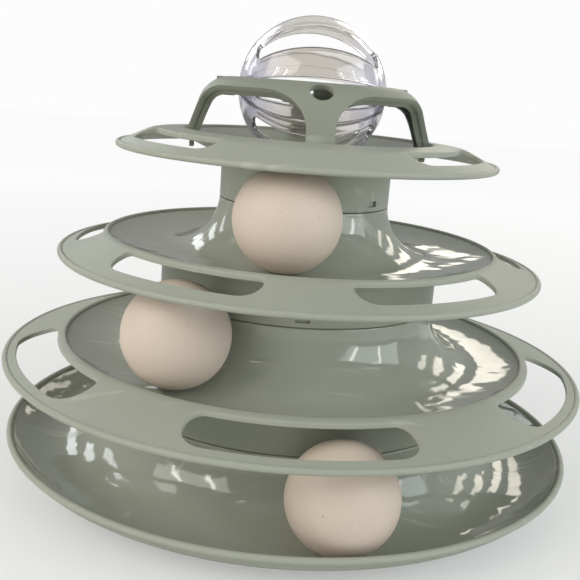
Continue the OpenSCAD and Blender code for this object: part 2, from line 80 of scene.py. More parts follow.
DISH = Sizes(floor=6.2, rim=123.3, rim_z=14.6, neck=78.0, seam=31.9, lugs=(-40, 140))
LOWER = Sizes(floor=52.4, rim=125.0, mouth=99.0, mouth_z=56.9, rim_z=46.9, neck=60.0, seam=76.2,
              skirt=78.0, skirt_z=32.2, lugs=(-92, 88), below=(-40, 140),
              slots=Sizes(at=(-157.2, -92.2, -26.7, 50, 126), radii=(102.9, 119.4),
                          span=41.5, corners=(5.156, 9.281)))
MIDDLE = Sizes(floor=96.4, rim=103.5, mouth=82.2, mouth_z=101.4, rim_z=91.4, neck=36.5,
               seam=117.2, skirt=60.0, skirt_z=76.5, lugs=(-45, 135), below=(-92, 88),
               slots=Sizes(at=(-190, -122.9, -61.7, 6.5, 87.2), radii=(85.0, 96.2),
                           span=41, corners=(2.24, 8.019)))
TOP = Sizes(rim=81.0, rim_z=136.3, shoulder=66.7, shoulder_z=144.3, mouth=52.3, mouth_z=145.4,
            floor=131.4, skirt=36.5, skirt_z=117.5, below=(-45, 135),
            slots=Sizes(at=(-147, -38, 87.5), radii=(63.7, 73.9),
                        span=47, corners=(1.499, 6.446)))
print("four mouldings, widest rim", 2 * LOWER.rim, "mm")

# %% [markdown]
# ## Outlines
# A round moulding is a turned outline. The outline is a chain of points: radius and
# height. Arcs are worked out from their centres, and sharp corners are softened
# afterwards, as no moulded edge is truly sharp and a soft edge catches light.

# %% Points of an outline
def polar(radius, turn):
    """A point from its distance and its direction in degrees."""
    return radius * cos(radians(turn)), radius * sin(radians(turn))


def arc(centre, radius, start, end, steps=14):
    made = [polar(radius, start + (end - start) * i / steps) for i in range(steps + 1)]
    return [(centre[0] + x, centre[1] + y) for x, y in made]


def climb(width, height):
    """Radius of the arc that leaves a level floor and climbs height over width."""
    return (width * width + height * height) / (2 * height)


def on_arc(low, radius, away):
    """Height of an arc at a distance from its lowest point, which lies at low."""
    return low + radius - sqrt(radius ** 2 - away ** 2)


def soften(points, radius, least=25.0, steps=3, share=0.45):
    """Rounds corners that turn by more than least degrees, over a share of each side."""
    made = [points[0]]
    for before, at, after in zip(points, points[1:], points[2:]):
        back, on = Vector(before) - Vector(at), Vector(after) - Vector(at)
        turn = pi - back.angle(on)
        if degrees(turn) < least:
            made.append(at)
            continue
        reach = min(radius * tan(turn / 2), share * back.length, share * on.length)
        a, b = Vector(at) + back.normalized() * reach, Vector(at) + on.normalized() * reach
        for i in range(steps + 1):
            t = i / steps
            made.append(tuple(a * (1 - t) ** 2 + Vector(at) * 2 * t * (1 - t) + b * t * t))
    return made + [points[-1]]


print("a quarter arc has", len(arc((0, 0), 1, 0, 90)), "points")

# %% [markdown]
# ## Turning an outline
# `turned` joins each pair of outline points with a ring of faces. A mesh made from
# rings keeps its highlights smooth, which a cut solid doesn't always do. Small sight
# windows are left open as the rings are made, so no cutting is needed for them.

# %% Turn a chain into rings of faces
def all_round(count):
    """Directions in degrees, evenly all round."""
    return [i * 360 / count for i in range(count)]


def directions(windows=()):
    """Directions of the ring points in degrees, with window edges among them."""
    made = all_round(STEPS)
    for edge in [e % 360 for w in windows for e in w]:
        nearest = min(range(STEPS), key=lambda i: abs((made[i] - edge + 180) % 360 - 180))
        made[nearest] = edge
    return made


def vertex(mesh, radius, turn, height):
    """A vertex from a direction in degrees, and a radius and height in millimetres."""
    a = radians(turn)
    return mesh.verts.new((radius * MM * cos(a), radius * MM * sin(a), height * MM))


def joined(mesh, here, there, finish=0, left_open=()):
    """Faces between two rings of vertices, with some places left open."""
    for i in range(len(here)):
        if i not in left_open:
            j = (i + 1) % len(here)
            mesh.faces.new((here[i], here[j], there[j], there[i])).material_index = finish


def window_places(window, low, high, around, close=0.01):
    """Places on the ring between two outline points that a sight window takes."""
    spans, z0, z1, radii = window
    if not all(z0 - close <= p[1] <= z1 + close for p in (low, high)) or not any(
            abs(p[0] - r) < close for r in radii for p in (low, high)):
        return []
    middles = [start + ((end - start) % 360) / 2
               for start, end in zip(around, around[1:] + around[:1])]
    return [i for i, middle in enumerate(middles)
            if any(abs((middle - (a + b) / 2 + 180) % 360 - 180) < (b - a) / 2 for a, b in spans)]


def turned(mesh, chain, around, finish=0, window=None):
    """Adds rings for a chain. window is (spans in degrees, low z, high z, radii)."""
    rings = [[vertex(mesh, r, a, z) for a in around] for r, z in chain]
    for (low, here), (high, there) in zip(zip(chain, rings), zip(chain[1:], rings[1:])):
        joined(mesh, here, there, finish,
               window_places(window, low, high, around) if window else ())
    return rings


def moved(mesh, rings, matrix):
    bmesh.ops.transform(mesh, matrix=matrix, verts=[v for ring in rings for v in ring])


print("a ring has", len(directions()), "points")

# %% [markdown]
# Lugs, tabs and the windows' walls are no rings, so they are made from a few faces.
# `piece` then welds what touches, smooths it, and ties it to the frame: the body that
# carries it and the nodes that it stands for.

# %% Small blocks, and a finished piece
def block(mesh, span, radii, heights, steps=6):
    """A block bent round the tower: span in degrees, radii and heights in millimetres."""
    (r0, r1), (z0, z1) = radii, heights
    rows = [[vertex(mesh, r, span[0] + (span[1] - span[0]) * i / steps, z)
             for r, z in ((r0, z0), (r1, z0), (r1, z1), (r0, z1))] for i in range(steps + 1)]
    capped(mesh, rows)


def capped(mesh, rows):
    """A bar whose rows of four vertices are joined, with both ends closed."""
    for here, there in zip(rows, rows[1:]):
        joined(mesh, here, there)
    mesh.faces.new(rows[0])
    mesh.faces.new(rows[-1][::-1])


def window_walls(mesh, window):
    """The four walls of each sight window."""
    spans, z0, z1, radii = window
    for a, b in spans:
        inner, outer = ([vertex(mesh, r, t, z) for t, z in ((a, z0), (b, z0), (b, z1), (a, z1))]
                        for r in radii)
        joined(mesh, inner, outer)


def welded(mesh, distance=2e-6):
    bmesh.ops.remove_doubles(mesh, verts=mesh.verts, dist=distance)
    bmesh.ops.recalc_face_normals(mesh, faces=mesh.faces)


def mesh_data(name, mesh):
    data = bpy.data.meshes.new(name)
    mesh.to_mesh(data)
    mesh.free()
    return data


def shaded(data, crease=38):
    """Smooth shading, but sharp edges where faces meet at more than crease degrees."""
    data.shade_smooth()
    data.set_sharp_from_angle(angle=radians(crease))


def linked(name, data):
    made = bpy.data.objects.new(name, data)
    bpy.context.scene.collection.objects.link(made)
    return made


def piece(name, mesh, finishes, body, nodes, crease=38):
    """Turns a bmesh into a piece that rides on a body and stands for CAD nodes."""
    welded(mesh)
    data = mesh_data(name, mesh)
    shaded(data, crease)
    for finish in finishes:
        data.materials.append(finish)
    made = linked(name, data)
    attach(made, body)
    if nodes:
        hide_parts(*nodes)
    print(name, len(data.polygons), "faces")
    return made


# %% [markdown]
# ## Shader expressions
# A finish is a small graph of nodes. Written as expressions it stays readable:
# `Wire` wraps one socket, and arithmetic on it adds the Math nodes.

# %% Wires and finishes
class Wire:
    """One value on its way through a finish."""

    def __init__(self, finish, socket):
        self.finish, self.socket = finish, socket

    def maths(self, kind, first, second):
        return self.finish.node("ShaderNodeMath", {"operation": kind}, {0: first, 1: second})

    def __add__(self, other): return self.maths("ADD", self, other)
    def __radd__(self, other): return self.maths("ADD", other, self)
    def __sub__(self, other): return self.maths("SUBTRACT", self, other)
    def __rsub__(self, other): return self.maths("SUBTRACT", other, self)
    def __mul__(self, other): return self.maths("MULTIPLY", self, other)
    def __rmul__(self, other): return self.maths("MULTIPLY", other, self)


class Finish:
    """A material whose nodes come from expressions."""

    def __init__(self, name, **constants):
        self.material = bpy.data.materials.new(name)
        self.material.use_nodes = True
        self.tree = self.material.node_tree
        self.shader = self.tree.nodes["Principled BSDF"]
        for key, value in constants.items():
            self.input(key).default_value = value

    def input(self, key):
        """The shader's socket with this name."""
        return self.shader.inputs[key.replace("_", " ").title().replace("Ior", "IOR")]

    def node(self, kind, settings=None, sockets=None, out=0):
        made = self.tree.nodes.new(kind)
        for key, value in (settings or {}).items():
            if key == "stops":
                self.stops(made.color_ramp.elements, value)
            else:
                setattr(made, key, value)
        for key, value in (sockets or {}).items():
            if isinstance(value, Wire):
                self.tree.links.new(value.socket, made.inputs[key])
            else:
                made.inputs[key].default_value = value
        return Wire(self, made.outputs[out])

    def stops(self, elements, values):
        while len(elements) < len(values):
            elements.new(0.5)
        for element, (at, level) in zip(elements, values):
            element.position, element.color = at, (level, level, level, 1)

    def place(self, stretch=(1, 1, 1), turn=(0, 0, 0)):
        """Where a point lies on the piece, in metres, stretched and turned."""
        where = self.node("ShaderNodeTexCoord", out="Object")
        return self.node("ShaderNodeMapping", {},
                         {"Vector": where, "Scale": stretch, "Rotation": turn})

    def noise(self, scale, detail=3.0, roughness=0.5, place=None):
        return self.node("ShaderNodeTexNoise", {},
                         {"Vector": place or self.place(), "Scale": scale,
                          "Detail": detail, "Roughness": roughness})

    def ramp(self, wire, *stops):
        return self.node("ShaderNodeValToRGB", {"stops": stops}, {"Fac": wire})

    def mix(self, share, first, second):
        """A colour that goes from first to second."""
        return self.node("ShaderNodeMix", {"data_type": "RGBA"},
                         {0: share, 6: first, 7: second}, out=2)

    def bump(self, height, strength, distance, **under):
        return self.node("ShaderNodeBump", {}, {"Height": height, "Strength": strength,
                                                "Distance": distance, **under})

    def feed(self, **wires):
        for key, wire in wires.items():
            self.tree.links.new(wire.socket, self.input(key))
        return self.material


def tone(red, green, blue):
    """A colour from its 0 to 255 display values."""
    level = [c / 255 for c in (red, green, blue)]
    return tuple(c / 12.92 if c <= 0.04045 else ((c + 0.055) / 1.055) ** 2.4
                 for c in level) + (1.0,)


print("a mid grey is", round(tone(128, 128, 128)[0], 3))

# %% [markdown]
# ## Green plastic
# The mouldings are one sage green plastic. Its flanges come out of a lightly
# textured mould and look satin; the tracks and hubs were polished, so that a ball
# runs freely, and mirror the room. Both carry the fine scuffs of a used toy.

# %% Satin and polished green
SAGE = tone(163, 166, 153)
SAGE_DEEP = tone(152, 156, 144)
SAGE_WORN = tone(188, 190, 178)
# The crown's two tones are the same sage green made darker: painted shade, as the top of the
# tower gets less light.
CROWN_SHADED_TONES = tone(143, 147, 134), tone(132, 137, 125)
DUST = tone(96, 98, 88)


def scuffs(finish, scale, turn):
    """Thin streaks: noise drawn out along one direction, cut to its peaks."""
    along = finish.noise(scale, 2.0, 0.5, finish.place((1, 24, 9), (0.2, 0.1, turn)))
    where = finish.noise(28, 2.0)
    return (finish.ramp(along, (0.64, 0.0), (0.68, 1.0))
            * finish.ramp(where, (0.5, 0.0), (0.58, 1.0)))


def green(name, roughness, gloss, grain, waves, tones=(SAGE, SAGE_DEEP)):
    finish = Finish(name, specular_ior_level=gloss, ior=1.49)
    cloud = finish.noise(9, 4.0)
    dust = finish.ramp(finish.noise(1900, 1.0), (0.74, 0.0), (0.78, 1.0))
    marks = scuffs(finish, 14, 0.5) + scuffs(finish, 9, 2.1)
    colour = finish.mix(cloud, *tones)
    colour = finish.mix(0.42 * marks, colour, SAGE_WORN)
    colour = finish.mix(0.5 * dust, colour, DUST)
    rough = roughness + 0.1 * (finish.noise(240, 3.0) - 0.5) + 0.12 * marks
    soft = finish.bump(finish.noise(38, 2.0), waves, 0.003)
    height = finish.noise(2600, 2.0) * grain - 0.4 * marks
    fine = finish.bump(height, 0.25, 0.00012, Normal=soft)
    return finish.feed(base_color=colour, roughness=rough, normal=fine)


satin = green("green_satin", 0.46, 0.28, 1.0, 0.03)
polished = green("green_polished", 0.08, 0.65, 0.08, 0.4)
# The crown's satin has the darker tones, which are painted shade.
crown_satin_painted_shade = green("green_crown_painted_shade", 0.5, 0.22, 1.0, 0.03, CROWN_SHADED_TONES)
print("green finishes:", satin.name, polished.name, crown_satin_painted_shade.name)

# %% [markdown]
# ## Flanges with slots
# Each flange is a thin sloping ring with long slots that follow the rim. A slot is a
# rounded bar bent round the tower: its two end radii differ on the inner and outer
# side. The ring is filled with triangles around the slots, and each slot gets a
# rolled edge, because that thin bright line shows in any light.

# %% Slots and the sheet around them
def slot_outline(middle, slots, grow=0.0, steps=10, corner_steps=7):
    (inner, outer), (ci, co) = slots.radii, slots.corners
    mid = (inner + outer) / 2
    half = mid * radians(slots.span) / 2 + grow
    inner, outer, ci, co = inner - grow, outer + grow, ci + grow, co + grow
    bar = ([(inner, (half - ci) * (2 * i / steps - 1)) for i in range(steps)]
           + arc((inner + ci, half - ci), ci, 180, 90, corner_steps)
           + arc((outer - co, half - co), co, 90, 0, corner_steps)
           + [(outer, (half - co) * (1 - 2 * i / steps)) for i in range(1, steps)]
           + arc((outer - co, co - half), co, 0, -90, corner_steps)
           + arc((inner + ci, ci - half), ci, -90, -180, corner_steps)[:-1])
    start = radians(middle)
    return [(r * cos(start + y / mid), r * sin(start + y / mid)) for r, y in bar]


def inside(point, loop):
    x, y = point
    return sum((ay > y) != (by > y) and x < (bx - ax) * (y - ay) / (by - ay) + ax
               for (ax, ay), (bx, by) in zip(loop, loop[1:] + loop[:1])) % 2 == 1


def along(chain):
    """Height on a chain of points as a function of the radius."""
    ordered = sorted(chain)

    def height(r):
        for (r0, z0), (r1, z1) in zip(ordered, ordered[1:]):
            if r <= r1:
                return z0 + (z1 - z0) * (r - r0) / (r1 - r0)
        return ordered[-1][1]

    return height


def sheet(mesh, chain, holes, around, spacing=3.0, clear_of_holes=0.9):
    """Fills the ring that a chain sweeps, around the holes."""
    inner, outer, height = chain[0][0], chain[-1][0], along(chain)
    points, edges = [], []

    def closed(loop):
        first = len(points)
        points.extend(Vector(p) for p in loop)
        edges.extend((first + i, first + (i + 1) % len(loop)) for i in range(len(loop)))

    def ring(radius):
        return [polar(radius, a) for a in around]

    closed(ring(inner))
    closed(ring(outer))
    for hole in holes:
        closed(hole)
    rows = max(2, round((outer - inner) / spacing))
    for row in range(1, rows):
        for p in ring(inner + (outer - inner) * row / rows):
            if not any(dist(p, q) < clear_of_holes for h in holes for q in h) and not any(
                    inside(p, h) for h in holes):
                points.append(Vector(p))
    made, _, faces, *_ = delaunay_2d_cdt(points, edges, [], 0, 1e-7)
    verts = [mesh.verts.new((p.x * MM, p.y * MM, height(p.length) * MM)) for p in made]
    for face in faces:
        centre = sum((made[i] for i in face), Vector((0, 0))) / len(face)
        if inner < centre.length < outer and not any(inside(centre, h) for h in holes):
            mesh.faces.new([verts[i] for i in face])


def slot_wall(mesh, middle, slots, upper, lower):
    """The rolled upper edge, the wall and the lower edge of one slot."""
    top, bottom = along(upper), along(lower)
    turns = [pi / 8 * i for i in range(5)]
    rows = ([(EDGE * (1 - sin(t)), top, -EDGE * (1 - cos(t))) for t in turns]
            + [(EDGE * (1 - cos(t)), bottom, EDGE * (1 - sin(t))) for t in turns])
    loops = [[mesh.verts.new((x * MM, y * MM, (level(hypot(x, y)) + lift) * MM))
              for x, y in slot_outline(middle, slots, grow)] for grow, level, lift in rows]
    for here, there in zip(loops, loops[1:]):
        joined(mesh, here, there)


def slotted(mesh, tier, upper, lower, around, spacing=3.0):
    """A flange with its slots, between the chains of its upper and lower side."""
    holes = [slot_outline(a, tier.slots, EDGE) for a in tier.slots.at]
    sheet(mesh, upper, holes, around, spacing)
    sheet(mesh, lower, holes, around)
    for a in tier.slots.at:
        slot_wall(mesh, a, tier.slots, upper, lower)


print("a slot outline has", len(slot_outline(0, LOWER.slots)), "points")

# %% [markdown]
# ## Hubs, tracks and skirts
# A hub ends in a shoulder and a spigot; the skirt of the next moulding drops over
# the spigot and leaves a thin dark seam at the shoulder. Each track is a round
# groove: its inner side is an arc a little wider than the ball, and its outer side
# climbs to the lip in a wider one.

# %% Shared stretches of the outlines
def groove_points(tier, out_round, turn):
    """The track's outline, from its outer side down to the floor and up to the seam."""
    track, floor = tier.neck + TRACK, tier.floor
    short = degrees(asin(max(floor + TRACK - tier.seam, 0) / TRACK))
    return (arc((track, floor + out_round), out_round, turn - 90, -90, 20)
            + arc((track, floor + TRACK), TRACK, -90, short - 180, 30)[1:])


def neck(tier):
    """The shoulder and the spigot over a track."""
    seam, outer = tier.seam, tier.neck - WALL - LOCK_GAP
    under = [(tier.neck, seam)] if seam > tier.floor + TRACK else []
    return under + [(outer, seam), (outer, seam + SPIGOT), (outer - SPIGOT_WALL, seam + SPIGOT)]


def underside(neck_r, floor, out_round, out_end, hub_join=70):
    """From the spigot's lower end along the hub and the track, one wall under them."""
    track = neck_r + TRACK
    inner = (track, floor + TRACK)
    spigot = neck_r - WALL - LOCK_GAP - SPIGOT_WALL
    a = radians(hub_join)
    join = (inner[0] - (TRACK + WALL) * sin(a), inner[1] - (TRACK + WALL) * cos(a))
    return ([(spigot, join[1] + join[0] - spigot)]
            + arc(inner, TRACK + WALL, -90 - hub_join, -90)
            + arc((track, floor + out_round), out_round + WALL, -90, out_end)[1:])


def hung(points, skirt, skirt_z, window, level, apart=0.4):
    """The underside with a skirt hung from it. level gives its height at a radius."""
    far = skirt + SKIRT_FILLET
    inner = [(skirt - WALL, z) for z in (level(skirt - WALL), window[2], window[1], skirt_z)]
    outer = [(skirt, z) for z in (skirt_z, window[1], window[2])]
    return ([p for p in points if p[0] < skirt - WALL - apart] + inner + outer
            + arc((far, level(far) - SKIRT_FILLET), SKIRT_FILLET, 180, 90, 6)
            + [p for p in points if p[0] > far + apart])


def bead_chain(rim, rim_z, join=130):
    """The rolled bead of a rim, from the flange's underside round to its upper side."""
    under = 180 - degrees(asin(sin(radians(join)) - WALL / BEAD))
    return arc((rim - BEAD, rim_z + BEAD), BEAD, under - 360, join, 26)


def window_of(tier):
    """Spans, heights and radii of the sight windows in a tier's skirt."""
    seam = tier.skirt_z - SEAM_GAP
    half = degrees(WINDOW / tier.skirt) / 2
    return ([(a - half, a + half) for a in tier.below], seam + LUG.rise,
            seam + LUG.rise + LUG.height, (tier.skirt - WALL, tier.skirt))


def lugs(mesh, tier):
    outer = tier.neck - WALL - LOCK_GAP
    half = degrees(LUG.width / outer) / 2
    for a in tier.lugs:
        block(mesh, (a - half, a + half), (outer - SPIGOT_WALL / 2, outer + LUG.reach),
              (tier.seam + LUG.rise, tier.seam + LUG.rise + LUG.height))


# %% [markdown]
# ## The two tiers
# A tier is built from the outside in: the rolled bead of the rim, the slotted
# flange, the lip, the track and hub, and then back along the underside.

# %% Lower and middle tier
def tier_piece(name, tier, body, node):
    window = window_of(tier)
    around = directions(window[0])
    track = tier.neck + TRACK
    bead = bead_chain(tier.rim, tier.rim_z)
    lip = arc((tier.mouth + LIP, tier.mouth_z - LIP), LIP, *LIP_ARC)
    width = tier.mouth - track
    out_round = climb(width, tier.mouth_z - LIP - tier.floor)
    turn = degrees(asin(width / out_round))
    groove = groove_points(tier, out_round, turn)

    def level(r):
        reach = (TRACK if r < track else out_round) + WALL
        return on_arc(tier.floor - WALL, reach, r - track)

    slope = (lip[0][1] - bead[-1][1]) / (bead[-1][0] - lip[0][0])
    under_lip = (tier.mouth + 2 * LIP, lip[0][1] - LIP * slope - WALL)
    out_end = degrees(asin(width / (out_round + WALL))) - 90
    below = hung(underside(tier.neck, tier.floor, out_round, out_end),
                 tier.skirt, tier.skirt_z, window, level) + [under_lip]
    hub = soften(groove[-2:] + neck(tier) + below[:1], HUB_EDGE)

    mesh = bmesh.new()
    turned(mesh, bead, around)
    turned(mesh, lip + groove[:1], around)
    turned(mesh, groove[:-1], around, finish=1)
    turned(mesh, hub, around, finish=1)
    turned(mesh, soften(below, SKIRT_EDGE), around, window=window)
    window_walls(mesh, window)
    lugs(mesh, tier)
    slotted(mesh, tier, [lip[0], bead[-1]], [under_lip, bead[0]], around)
    piece(name, mesh, (satin, polished), body, [node])


tier_piece("lower_tier_moulding", LOWER, "lower", "lower_tier")
tier_piece("middle_tier_moulding", MIDDLE, "middle", "middle_tier")

# %% [markdown]
# ## The dish
# The dish has no flange: its track climbs straight to the rolled rim. Six round
# seats under it hold the foot pads.

# %% Base dish
PAD = Sizes(radius=6.5, seat=2.2, recess=0.8, ledge=0.5, rim=1.6, gap=0.15, count=6, reach=92.0)
DISH_BEAD_ARC = (-60, 180, 24)


def dish_piece():
    around = directions()
    track = DISH.neck + TRACK
    centre = (DISH.rim - BEAD, DISH.rim_z + BEAD)
    width = centre[0] - BEAD - track
    out_round = climb(width, centre[1] - DISH.floor)
    turn = degrees(asin(width / out_round))
    groove = groove_points(DISH, out_round, turn)
    below = underside(DISH.neck, DISH.floor, out_round, turn - 90)
    hub = soften(groove[-2:] + neck(DISH) + below[:1], HUB_EDGE)
    bead = arc(centre, BEAD, *DISH_BEAD_ARC)

    mesh = bmesh.new()
    turned(mesh, bead + groove[:1], around)
    turned(mesh, groove[:-1], around, finish=1)
    turned(mesh, hub, around, finish=1)
    turned(mesh, below + bead[:1], around)
    lugs(mesh, DISH)
    seat, low = PAD.radius + PAD.gap, PAD.seat
    high, rim = low + PAD.recess, seat + PAD.rim
    boss = soften([(seat - PAD.ledge, high), (seat, high), (seat, low), (rim, low),
                   (rim, low + 1)], 0.3)
    for way in all_round(PAD.count):
        rings = turned(mesh, boss, all_round(SMALL_STEPS))
        moved(mesh, rings, Matrix.Rotation(radians(way), 4, "Z")
              @ Matrix.Translation((PAD.reach * MM, 0, 0)))
        # The seat's last ring ends inside the dish's wall.
        for v in rings[-1]:
            r = v.co.xy.length / MM - track
            side = (TRACK if r < 0 else out_round) + WALL / 2
            v.co.z = on_arc(DISH.floor - WALL / 2, side, r) * MM
    piece("dish_moulding", mesh, (satin, polished), "base", ["base_dish"])


dish_piece()

# %% [markdown]
# ## The top disc
# The top disc is a slotted cone with a flat land, a shallow bowl and a skirt. The
# slots cross the soft shoulder between cone and land, so the sheet around them takes
# its height from the whole outline.

# %% Top disc
BOWL = climb(TOP.mouth, TOP.mouth_z - LIP - TOP.floor)


def top_piece():
    window = window_of(TOP)
    around = directions(window[0])
    bead = bead_chain(TOP.rim, TOP.rim_z)
    lip = arc((TOP.mouth + LIP, TOP.mouth_z - LIP), LIP, *LIP_ARC)
    centre = (0, TOP.floor + BOWL)
    edge, pole = degrees(asin(TOP.mouth / BOWL)) - 90, -89.7
    bowl = arc(centre, BOWL, edge, pole, 30)
    under = arc(centre, BOWL + WALL, pole, edge, 30)

    def level(r):
        return on_arc(TOP.floor - WALL, BOWL + WALL, r)

    lip_under = (lip[0][0] + LIP, lip[0][1] - WALL)
    below = hung(under, TOP.skirt, TOP.skirt_z, window, level) + [lip_under]
    shoulder = (TOP.shoulder, TOP.shoulder_z)
    upper = soften([lip[0], shoulder, bead[-1]], 8, least=5, steps=6)
    lower = [lip_under, (shoulder[0] - WALL / 4, shoulder[1] - WALL), bead[0]]

    mesh = bmesh.new()
    turned(mesh, bead, around)
    turned(mesh, lip + bowl[:1], around)
    turned(mesh, bowl, around, finish=1)
    turned(mesh, soften(below, SKIRT_EDGE), around, window=window)
    window_walls(mesh, window)
    slotted(mesh, TOP, upper, lower, around, 1.5)
    piece("top_disc_moulding", mesh, (satin, polished), "top", ["top_disc"])


top_piece()

# %% [markdown]
# ## The crown
# The crown is a ring on four legs: a rounded shoulder that was turned, with four arches
# cut out of its sides. Its surface is laid out leg by leg, in rows that follow the
# arch, because a grid that knows the arch keeps its curve clean. A modifier then gives
# the skin its wall, and another rolls the edges.

# %% The crown's shape
CROWN = Sizes(top=167.3, ring=32.6, seat=145.4, leg_r=51.5, lean=18.7, round=13.9, wall=2.4,
              leg=11.0, arch_drop=3.8, corner=(16, 14), border=(0.8, 5.0), rib=(0.35, 1.8),
              hole=4.6, tilt=51, roll=0.55, boss=(2.25, 3.8, 7.8), axle=163.3,
              tab=(6.0, 1.8, 2.0), foot_gap=0.15)
LEAN = tan(radians(CROWN.lean))
SHOULDER = (CROWN.leg_r - (CROWN.top - CROWN.seat) * LEAN
            - CROWN.round / tan(radians(45 + CROWN.lean / 2)), CROWN.top - CROWN.round)
ARCH_TOP = CROWN.top - CROWN.arch_drop
ROUND_ENDS = SHOULDER[1] + CROWN.round * sin(radians(CROWN.lean))


def crown_radius(z):
    if z > ROUND_ENDS:
        return SHOULDER[0] + sqrt(max(0, CROWN.round ** 2 - (z - SHOULDER[1]) ** 2))
    return CROWN.leg_r + (CROWN.seat - z) * LEAN


def bowl_height(r):
    return on_arc(TOP.floor, BOWL, r)


def leg_rows(steps=16):
    """Height and half width of a leg, from the top of the arch down to the bowl."""
    width, height = CROWN.corner
    rows = [(ARCH_TOP - height + height * sin(a), CROWN.leg / 2 + width + width * cos(a))
            for a in (pi / 2 * (1 + i / steps) for i in range(steps + 1))]
    # The leg leans, so its foot is found by trying the bowl's height again and again.
    foot = CROWN.seat
    for _ in range(20):
        foot = bowl_height(crown_radius(foot)) + CROWN.foot_gap
    low = rows[-1][0]
    return rows + [(low + (foot - low) * i / 4, CROWN.leg / 2) for i in range(1, 5)]


def crown_point(turn, z, depth=0.0):
    """A point on the crown's outer surface, or depth under it. turn in radians."""
    r = crown_radius(z)
    out = Vector((r - SHOULDER[0], z - SHOULDER[1]) if z > ROUND_ENDS else (1, LEAN)).normalized()
    r, z = r - out.x * depth, z - out.y * depth
    return Vector((r * cos(turn), r * sin(turn), z))


def leg_turns(half, z, columns=14):
    return [asin(half * (2 * i / columns - 1) / crown_radius(z)) for i in range(columns + 1)]


print("each leg has", len(leg_rows()), "rows")

# %% [markdown]
# The skin has two parts: rings round the upper band, and a grid down each leg. They
# share their points along the arch's top and are welded there.

# %% The crown's skin
def crown_skin():
    mesh = bmesh.new()
    rows = leg_rows()
    leg = leg_turns(rows[0][1], ARCH_TOP)
    gap = pi / 2 - 2 * leg[-1]
    turns = [q * pi / 2 + t for q in range(4)
             for t in leg + [leg[-1] + gap * i / 8 for i in range(1, 8)]]
    arch = degrees(asin((ARCH_TOP - SHOULDER[1]) / CROWN.round))
    band = [(CROWN.ring, CROWN.top)] + arc(SHOULDER, CROWN.round, 90, arch, 12)
    rings = [[mesh.verts.new((r * cos(t) * MM, r * sin(t) * MM, z * MM))
              for t in turns] for r, z in band]
    for here, there in zip(rings, rings[1:]):
        for i in range(len(turns)):
            j = (i + 1) % len(turns)
            mesh.faces.new((here[i], there[i], there[j], here[j]))
    for q in range(4):
        lines = [[mesh.verts.new(crown_point(q * pi / 2 + t, z) * MM)
                  for t in leg_turns(half, z)] for z, half in rows]
        for here, there in zip(lines, lines[1:]):
            for i in range(len(here) - 1):
                mesh.faces.new((here[i], there[i], there[i + 1], here[i + 1]))
    welded(mesh, 2e-5)
    if max(mesh.faces, key=lambda f: f.calc_center_median().z).normal.z < 0:
        bmesh.ops.reverse_faces(mesh, faces=mesh.faces)
    print("the crown's skin has", len(mesh.faces), "faces")
    return mesh


# %% [markdown]
# The arches are bordered by a deeper rib on the inside, which makes the legs look
# thick from the side. A rib is a bar that follows an arch's edge from foot to foot.

# %% Ribs along the arches
def rib_path(q):
    """The edge of one arch, from a foot up over the arch and down to the next foot."""
    rows = leg_rows()
    start = q * pi / 2
    up = [(start + leg_turns(half, z)[-1], z) for z, half in rows[::-1]]
    down = [(start + pi / 2 + leg_turns(half, z)[0], z) for z, half in rows]
    across = [(up[-1][0] + (down[0][0] - up[-1][0]) * i / 8, ARCH_TOP) for i in range(1, 8)]
    return up + across + down


def ribs(mesh):
    (near_by, far_by), (high, deep) = CROWN.rib, CROWN.border
    for q in range(4):
        path = rib_path(q)
        points = [crown_point(t, z) for t, z in path]
        middle = crown_point((path[0][0] + path[-1][0]) / 2, CROWN.seat)
        rows = []
        for i, (t, z) in enumerate(path):
            run = points[min(i + 1, len(points) - 1)] - points[max(i - 1, 0)]
            out = (points[i] - crown_point(t, z, 1.0)).normalized()
            away = run.cross(out).normalized()
            if away.dot(points[i] - middle) < 0:
                away = -away
            near, far = points[i] + away * near_by, points[i] + away * far_by
            rows.append([mesh.verts.new(p * MM) for p in (
                near - out * high, far - out * high, far - out * deep, near - out * deep)])
        capped(mesh, rows)


print("a rib has", len(rib_path(0)), "rows")

# %% [markdown]
# The toy holes are drilled square to the shoulder, so they are cut as true cylinders.
# Each modifier's result is made part of the mesh, which leaves plain geometry. Bosses for the
# pivot pins and tabs under the feet go in with the ribs.

# %% Rods, rolled edges and the whole crown
def rod(mesh, chain, at, toward):
    """A turned piece whose axis starts at a point and runs toward a direction."""
    moved(mesh, turned(mesh, chain, all_round(SMALL_STEPS)), Matrix.Translation(
        Vector(at) * MM) @ Vector(toward).to_track_quat("Z", "Y").to_matrix().to_4x4())


def applied(made):
    """Makes the modifiers of a piece part of its mesh."""
    depsgraph = bpy.context.evaluated_depsgraph_get()
    data = bpy.data.meshes.new_from_object(made.evaluated_get(depsgraph))
    made.modifiers.clear()
    made.data = data


def rolled(made, width, segments, limit):
    """Rolls the edges where faces meet at more than limit degrees."""
    roll = made.modifiers.new("rolled edges", "BEVEL")
    roll.width, roll.segments, roll.limit_method = width * MM, segments, "ANGLE"
    roll.angle_limit = radians(limit)
    applied(made)
    shaded(made.data)


